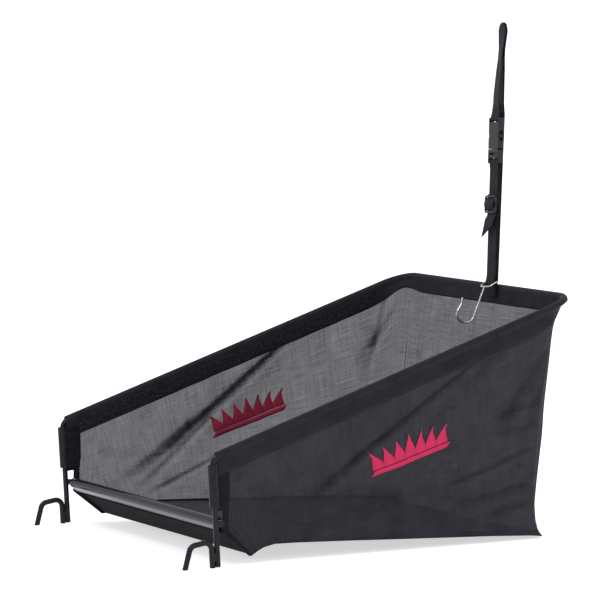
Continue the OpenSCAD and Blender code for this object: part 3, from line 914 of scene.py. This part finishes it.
def floor_sag(x, y, a):
    """How far the floor behind its sill lies above or below its profile, at a share a of its width."""
    if y <= 60:
        return 0.0
    middle = 1 - abs(2 * a - 1) ** 3
    return 2.4 * (math.sin(y * 0.013 + 0.6) + noise.noise(Vector((x * 0.015, y * 0.02, 4.0)))) * middle


def build_floor():
    """Apron and floor in one coated sheet."""
    profile = floor_profile()
    runs = [0.0]
    for p, q in zip(profile, profile[1:]):
        runs.append(runs[-1] + (q - p).length)
    y_at = [(run, p.x) for run, p in zip(runs, profile)]
    z_at = [(run, p.y) for run, p in zip(runs, profile)]

    def point(a, b):
        run = b * runs[-1]
        y = along(y_at, run)
        x = floor_half_width(y) * (2 * a - 1)
        return at(x, y, max(along(z_at, run) + floor_sag(x, y, a), FLOOR_LOWEST))

    floor = patch("bag_floor", point, (FLOOR_SHEET_WIDTH, runs[-1]), 4.0, FLOOR_T)
    return finish_piece(floor, COATED, stands_for=["floor_panel", "front_apron"])


# ---------------------------------------------------------------- the printed tuft
PRINT_CENTRE = {"left": (226.0, 119.0), "right": (240.0, 113.0)}
PRINT_TILT = math.radians(16.5)
PRINT_MIDDLE = 10.0
PRINT_T = 0.15
BLADES = 7
BLADE_PITCH = 13.5
BLADE_WIDTH = 17.0


def blade(root, lean, height):
    """A grass blade: place(t, c) is its (along, up) at t up its length and c across it from -1 to 1."""
    def place(t, c):
        thick = BLADE_WIDTH * (1 - t) ** 0.7 * (0.6 + 0.4 * math.sin(math.pi * min(1.0, t + 0.25)))
        return root + lean * t * t + c * thick / 2, height * t

    return place


def bar(t, c):
    """The bar under the blades, with slanted ends."""
    return -50 + 98 * t + 3 * c, -3.5 + 2.6 * c


def print_pieces():
    """A generic mark, grass blades over a bar: each piece's place function, and its rows and columns."""
    blades = [
        (blade(BLADE_PITCH * k - 42, (k - 2.2) * 3.2, 25 - 1.8 * abs(k - 3)), 12, 3) for k in range(BLADES)
    ]
    return blades + [(bar, 24, 2)]


def build_print(side, gap, material, name):
    """The mark on one face of a wall, as a film that follows the cloth."""
    verts, faces, uvs = [], [], []
    centre_y, centre_z = PRINT_CENTRE[side]
    c, n = math.cos(PRINT_TILT), math.sin(PRINT_TILT)
    for place, rows, columns in print_pieces():
        faces += grid_faces(columns, rows, len(verts))
        for a, b in grid_places(columns, rows):
            u, w = place(b * 0.985, 2 * a - 1)
            w -= PRINT_MIDDLE
            y = centre_y + u * c - w * n
            z = centre_z + u * n + w * c
            verts.append(on_side_wall(side, y, z, gap))
            uvs.append((y * MM, z * MM))
    obj = mesh_object(name, verts, faces, uvs)
    thicken(obj, PRINT_T)
    return finish_piece(obj, material)


def on_side_wall(side, y, z, gap):
    """The point of a side wall at (y, z), gap outwards. Each step goes most of the way that is left."""
    s, v = y - MESH_FRONT, 0.5
    for _ in range(9):
        p = wall(side, s, v) / MM
        s += (y - (p.y - MOUTH_Y)) * 0.9
        v = min(0.97, max(0.03, v - (z - p.z) / 150 * 0.8))
    return off_wall(side, s, v, gap)


# ---------------------------------------------------------------- webbing
WEB_W = 20.0
WEB_T = 1.5
WEB_COLUMNS = 22
RIBS = 5
RIB_DEPTH = 0.16
SLANT_RUN = 14.0


def web_section(thickness):
    """A ribbed section with rounded edges, once round: (place across, -1 to 1; height above the middle)."""
    section = []
    for face in (1, -1):
        for i in range(WEB_COLUMNS):
            c = (i / (WEB_COLUMNS - 1) * 2 - 1) * face
            rib = 0.5 + 0.5 * math.cos(c * math.pi * RIBS)
            rounded = math.sqrt(max(0.0, 1 - abs(c) ** 9))
            section.append((c, face * ((thickness / 2 - RIB_DEPTH * rib) * rounded + 0.02)))
    return section


def webbing(name, path, body, stands_for, across, width_at=None, thickness=WEB_T, slant=0.0, step=1.6):
    """Ribbed webbing along path, a list of points in metres. Its end is cut at a slant.

    across(t) is the direction of its width at a share of its length, and width_at(t) its share of WEB_W.
    """
    points = resample(path, step * MM)
    last = len(points) - 1
    section = web_section(thickness)
    verts, uvs = [], []
    for k, p in enumerate(points):
        run = (points[min(last, k + 1)] - points[max(0, k - 1)]).normalized()
        w = across(k / last).normalized()
        w = (w - run * w.dot(run)).normalized()
        n = run.cross(w)
        half = WEB_W * (width_at(k / last) if width_at else 1.0) / 2
        cut = slant * max(0.0, 1 - (last - k) * step / SLANT_RUN)
        for c, lift in section:
            verts.append(p + (w * c * half + n * lift + run * cut * c * half) * MM)
            uvs.append((c * half * MM, k * step * MM))
    obj = mesh_object(name, verts, tube_faces(len(points), len(section)), uvs)
    return finish_piece(obj, WEBBING, body, stands_for)


def resample(path, step):
    """Points step apart on a smooth curve through path. Its tangents are never longer than its spans."""
    pieces = 12
    fine = []
    for k in range(len(path) - 1):
        p0, p1, p2, p3 = (path[min(len(path) - 1, max(0, k + d))] for d in (-1, 0, 1, 2))
        reach = (p2 - p1).length
        m1 = (p2 - p0) * 0.5
        m2 = (p3 - p1) * 0.5
        m1 = m1.normalized() * min(m1.length, reach)
        m2 = m2.normalized() * min(m2.length, reach)
        for j in range(pieces):
            t = j / pieces
            from_ends = p1 * (2 * t**3 - 3 * t**2 + 1) + p2 * (3 * t**2 - 2 * t**3)
            fine.append(from_ends + m1 * (t**3 - 2 * t**2 + t) + m2 * (t**3 - t**2))
    fine.append(path[-1])
    made, carried = [fine[0]], 0.0
    for p, q in zip(fine, fine[1:]):
        gap = (q - p).length
        while carried + gap >= step:
            p = p.lerp(q, (step - carried) / gap)
            made.append(p)
            gap = (q - p).length
            carried = 0.0
        carried += gap
    return made


def turn(centre, radius, start, end, steps):
    """Points on an arc from start to end, in degrees."""
    angles = [math.radians(lerp(start, end, k / steps)) for k in range(steps + 1)]
    return [(centre[0] + radius * math.cos(a), centre[1] + radius * math.sin(a)) for a in angles]


# The strap's front branch, above and below its buckle, has its own frame, which the record's joints give:
# Z is up the branch, X is along the webbing's width, and zero is the buckle's middle.
BRANCH_Z = -Vector(JOINTS["buckle_release"]["axis"]).normalized()
BRANCH_X = -Vector(JOINTS["strap_end_swing"]["axis"]).normalized()
BRANCH_Y = BRANCH_Z.cross(BRANCH_X).normalized()
PLUG_BAR = -13.6
PLUG_TURN_R = 2.25
SOCKET_BAR = 34.3
SOCKET_TURN_R = 2.15
BUCKLE = Vector(JOINTS["strap_end_swing"]["pos_m"]) - BRANCH_Z * PLUG_BAR * MM
WIRE_BAR = (Vector(JOINTS["wire_hook_swing"]["pos_m"]) - BUCKLE).dot(BRANCH_Z) / MM
FOLD = Vector(JOINTS["strap_swing"]["pos_m"])
STRAP_LEAN = math.radians(1.6)
LAYER = 0.85
STRAND = LAYER + 0.1


def branch(y, z, x=0.0):
    """A point by the front branch's frame."""
    return BUCKLE + (BRANCH_X * x + BRANCH_Y * y + BRANCH_Z * z) * MM


def branch_across(t):
    return BRANCH_X


def strap(y, z, x):
    """A point by the leaning strap's frame: zero is its fold on the rear rail, and Z is up the strap."""
    c, n = math.cos(STRAP_LEAN), math.sin(STRAP_LEAN)
    return FOLD + Vector((x, y * c + z * n, z * c - y * n)) * MM


STRAP_TOP = (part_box("strap_loop")[1].z - FOLD.z) / MM / math.cos(STRAP_LEAN)
STRAP_BACK = 4.2
STRAP_TURN_R = 1.5

# By distance below the strap's top: its turn about its own length, in degrees, and its share of WEB_W.
TWIST = [(0, -5), (12, -6), (30, -18), (40, -19), (53, -15), (73, -13), (92, -10), (104, -1), (112, 0)]
TIP_WIDTH = [(0, 0.22), (2.0, 0.45), (5, 0.74), (10, 1.0)]


def strap_twist(z):
    return math.radians(along(TWIST, STRAP_TOP - z))


def strap_strand(z, apart):
    """A strand's place at that height, apart behind the strap's middle. The turn carries it round."""
    twist = strap_twist(z)
    middle = STRAP_BACK * z / STRAP_TOP - STRAND
    return strap(middle + apart * math.cos(twist), z, -apart * math.sin(twist))


def build_strap():
    """From the rear rail up, over, down, round the socket's bar and back up to its seam."""
    top = STRAP_TOP - WEB_T / 2 - STRAP_TURN_R
    step = 1.0
    path = [strap_strand(z, STRAND) for z in (0, 60, 120, 180, 205, 220, 235, 250, 262)]
    path += [strap_strand(top - 12, STRAND), strap_strand(top - 5, STRAND + 0.3)]
    path += [strap_strand(z, y) for y, z in turn((0, top), STRAP_TURN_R, -10, 190, 12)]
    path += [strap_strand(top - 5, -STRAND - 0.3), strap_strand(top - 12, -STRAND)]
    path += [branch(-LAYER, 62), branch(-LAYER, 52), branch(-LAYER, SOCKET_BAR + 7)]
    path += [branch(y, z) for y, z in turn((0, SOCKET_BAR), SOCKET_TURN_R, 180, 360, 10)]
    path += [branch(LAYER, SOCKET_BAR + 7), branch(LAYER, 50)]
    heights = [(p - FOLD).z / MM / math.cos(STRAP_LEAN) for p in resample(path, step * MM)]

    def height(t):
        return heights[min(len(heights) - 1, round(t * (len(heights) - 1)))]

    def across(t):
        twist = strap_twist(height(t))
        return Vector((math.cos(twist), math.sin(twist), 0))

    def width(t):
        return along(TIP_WIDTH, STRAP_TOP - height(t))

    return webbing("strap_webbing", path, "strap", ["strap_loop"], across, width, step=step)


def build_strap_anchor():
    """Down behind the rear hem's roll and against its flap."""
    roll_back = RAIL_LENGTH + ROLL_R + HEM_CLOTH_T / 2 + 0.15 + WEB_T / 2
    x = FOLD.x / MM
    path = [at(x, roll_back, FOLD.z / MM - 2.2), at(x, roll_back, REAR_Z - 2)]
    path += [at(x, RAIL_LENGTH + 2.9, REAR_Z - 11), at(x, RAIL_LENGTH + 2.2, REAR_Z - 16)]
    width_way = Vector((1, 0, 0))
    return webbing("strap_anchor_webbing", path, BAG, ["strap_anchor"], lambda t: width_way, step=1.2)


def build_strap_end():
    """Round the plug's bar, down past the wire hook's bar, folded below it and back up to the adjuster."""
    swell = [(LAYER, -9), (LAYER + 0.4, -5), (2.2, 0), (LAYER + 0.4, 5), (LAYER, 9)]
    path = [(LAYER, PLUG_BAR - 34), (LAYER, PLUG_BAR - 20), (LAYER, PLUG_BAR - 8)]
    path += turn((0, PLUG_BAR), PLUG_TURN_R, -20, 200, 12)
    path += [(-LAYER, PLUG_BAR - 8), (-LAYER, -60), (-LAYER, -100)]
    path += [(-y, WIRE_BAR + z) for y, z in reversed(swell)]
    path += turn((0, WIRE_BAR - 16), LAYER, 180, 360, 6)
    path += [(y, WIRE_BAR + z) for y, z in swell]
    path += [(LAYER, -100), (LAYER, -62)]
    path = [branch(y, z) for y, z in path]
    return webbing("strap_end_webbing", path, "strap_end", ["strap_end"], branch_across)


def build_strap_tail():
    """From behind the adjuster over its middle bar, back behind it, then loose, with a slanted end."""
    glide_lo, glide_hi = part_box("tri_glide")
    middle = (glide_lo + glide_hi) / 2 - BUCKLE
    y0 = middle.dot(BRANCH_Y) / MM
    z0 = middle.dot(BRANCH_Z) / MM
    weave_through = [(1.8, 11.5), (1.8, 8.1), (-2.4, 2.9), (-2.7, 0), (-2.4, -2.9), (1.8, -8.1)]
    loose = [(1.7, -12.5), (-0.9, -17), (-2.4, -24), (-3.8, -31)]
    path = [branch(y0 + y, z0 + z) for y, z in weave_through + loose]
    return webbing(
        "strap_tail_webbing", path, "adjuster", ["strap_tail"], branch_across, thickness=1.2, slant=-0.75
    )


def branch_stitches(name, body, z):
    """A row of stitches across the branch's front face."""
    front = -LAYER - WEB_T / 2 - 0.02
    half = WEB_W / 2 - 2
    row = stitches(name, lambda d: (branch(front, z, d - half), -BRANCH_Y), 2 * half, 2.6, 1.9, 0.3)
    return finish_piece(row, THREAD, body)


def build_webbing_stitches():
    """Two rows under the plug and two above the socket."""
    for k in range(2):
        branch_stitches(f"end_stitches_{k}", "strap_end", PLUG_BAR - 12 - 3 * k)
    for k in range(2):
        branch_stitches(f"socket_stitches_{k}", "strap", SOCKET_BAR + 11 + 3 * k)


# ---------------------------------------------------------------- studio
LAMPS = {
    "key": {"place": (1.3, -2.0, 3.0), "size": 0.4, "power": 26},
    "rim": {"place": (-1.8, 1.4, 2.2), "size": 0.8, "power": 7},
    "side": {"place": (3.2, 0.6, 1.6), "size": 0.5, "power": 7},
}
LAMP_AIM = Vector((0, 0, 0.2))


def build_floor_and_world():
    bpy.ops.mesh.primitive_circle_add(vertices=64, radius=120, fill_type="NGON", location=(0, 0, 0))
    ground = bpy.context.object
    ground.name = "studio_floor"
    ground.data.materials.append(floor_material())
    world = bpy.data.worlds.new("studio")
    world.use_nodes = True
    background = world.node_tree.nodes["Background"]
    background.inputs["Color"].default_value = (0.97, 0.955, 1.07, 1)
    background.inputs["Strength"].default_value = 1.07
    bpy.context.scene.world = world


def build_lamps():
    for name, lamp in LAMPS.items():
        data = bpy.data.lights.new(name, "AREA")
        data.size = lamp["size"]
        data.energy = lamp["power"]
        obj = bpy.data.objects.new(name, data)
        obj.location = lamp["place"]
        obj.rotation_euler = (LAMP_AIM - obj.location).to_track_quat("-Z", "Y").to_euler()
        bpy.context.scene.collection.objects.link(obj)


CAMERA_AZIMUTH = math.radians(62.121)
CAMERA_ELEVATION = math.radians(4.816)
CAMERA_PLACE = (3849.98, -1836.82, 627.88)
LENS = 235.46


def build_camera():
    """Nearly level, from the right of the mouth, through a long lens."""
    level = math.cos(CAMERA_ELEVATION)
    back = Vector((
        math.sin(CAMERA_AZIMUTH) * level,
        -math.cos(CAMERA_AZIMUTH) * level,
        math.sin(CAMERA_ELEVATION),
    ))
    data = bpy.data.cameras.new("camera")
    data.lens = LENS
    data.sensor_width = 36
    data.clip_end = 500
    camera = bpy.data.objects.new("camera", data)
    camera.location = at(*CAMERA_PLACE)
    camera.rotation_euler = (-back).to_track_quat("-Z", "Y").to_euler()
    bpy.context.scene.collection.objects.link(camera)
    bpy.context.scene.camera = camera
    bpy.context.scene.view_settings.view_transform = "Standard"


def dress_cad_nodes():
    """The CAD nodes' materials, and softened edges on the moulded pieces in view."""
    for material, names in CAD_LOOKS.items():
        for name in names:
            mesh = frame["nodes"][name].data
            mesh.materials.clear()
            mesh.materials.append(material)
    for name in ("buckle_socket", "buckle_plug", "tri_glide"):
        soft_edges = frame["nodes"][name].modifiers.new("soft_edges", "BEVEL")
        soft_edges.width = 0.5 * MM
        soft_edges.segments = 3
        soft_edges.limit_method = "ANGLE"


def build_bag():
    """The bag's sheets, with the pieces sewn to each or printed on it."""
    walls = build_walls()
    hem = build_hem()
    on_hem = build_hem_stitches() + build_loop_tapes()
    sewn = {side: build_sewn_pieces(side) for side in ("left", "right")}
    floor = build_floor()
    for side in ("left", "right"):
        prints = [
            build_print(side, 0.7, INK, "printed_tuft_" + side),
            build_print(side, -0.7, INK_SOAKED, "printed_tuft_inside_" + side),
        ]


build_camera()
build_floor_and_world()
build_lamps()
dress_cad_nodes()
build_bag()
build_strap()
build_strap_anchor()
build_strap_end()
build_strap_tail()
build_webbing_stitches()
